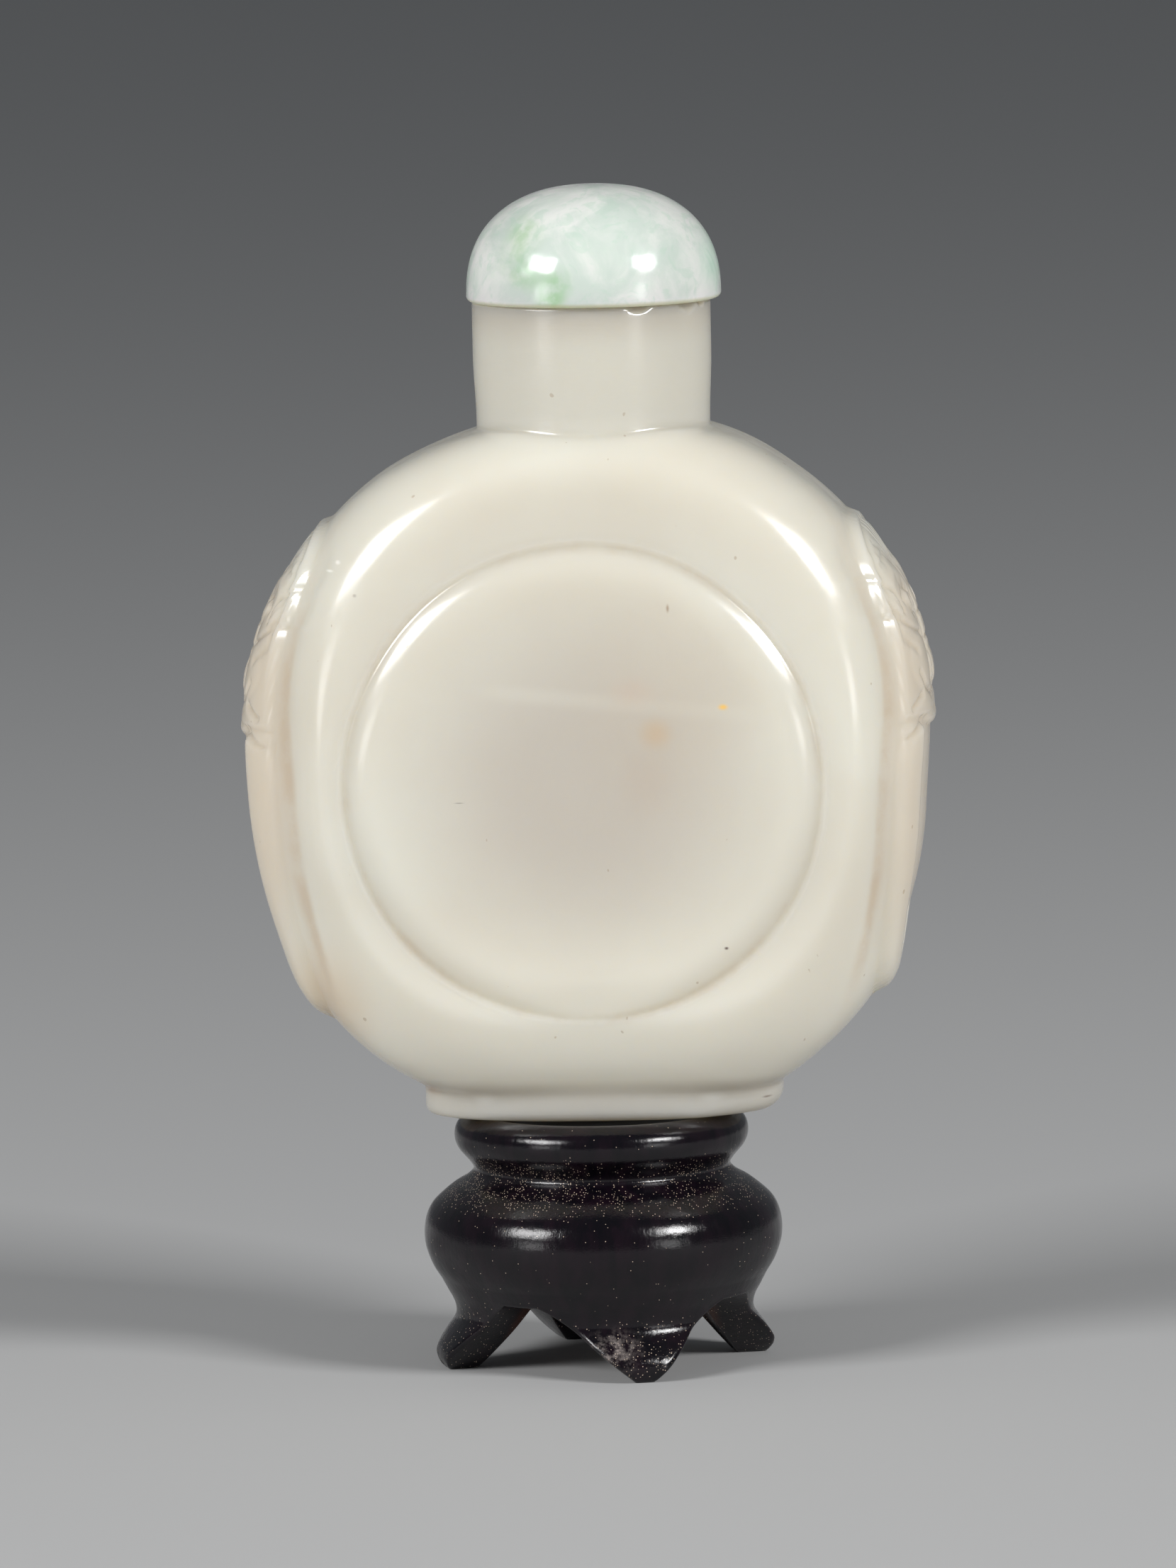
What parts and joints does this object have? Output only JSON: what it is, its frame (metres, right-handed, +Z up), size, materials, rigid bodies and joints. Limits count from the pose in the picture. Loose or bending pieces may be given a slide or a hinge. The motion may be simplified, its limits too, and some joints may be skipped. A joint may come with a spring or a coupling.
{
  "type": "snuff bottle",
  "caption": "Jade snuff bottle with raised round panels, mask-and-ring handles and a domed stopper, on a small carved dark wood stand.",
  "frame": {"origin": "middle of the stand's footprint, on the surface that its toes rest on", "axes": "+Z up through the neck; the raised round panels face -Y and +Y; the mask-and-ring handles face -X and +X"},
  "size_m": [0.0486, 0.025, 0.0826],
  "materials": {
    "jade": "polished translucent greyish white nephrite",
    "green_jade": "polished mottled pale green jadeite",
    "dark_wood": "polished near-black purple-brown hardwood"
  },
  "bodies": {
    "root": {"bottle": "jade", "stopper": "green_jade", "stand": "dark_wood"}
  },
  "joints": []
}
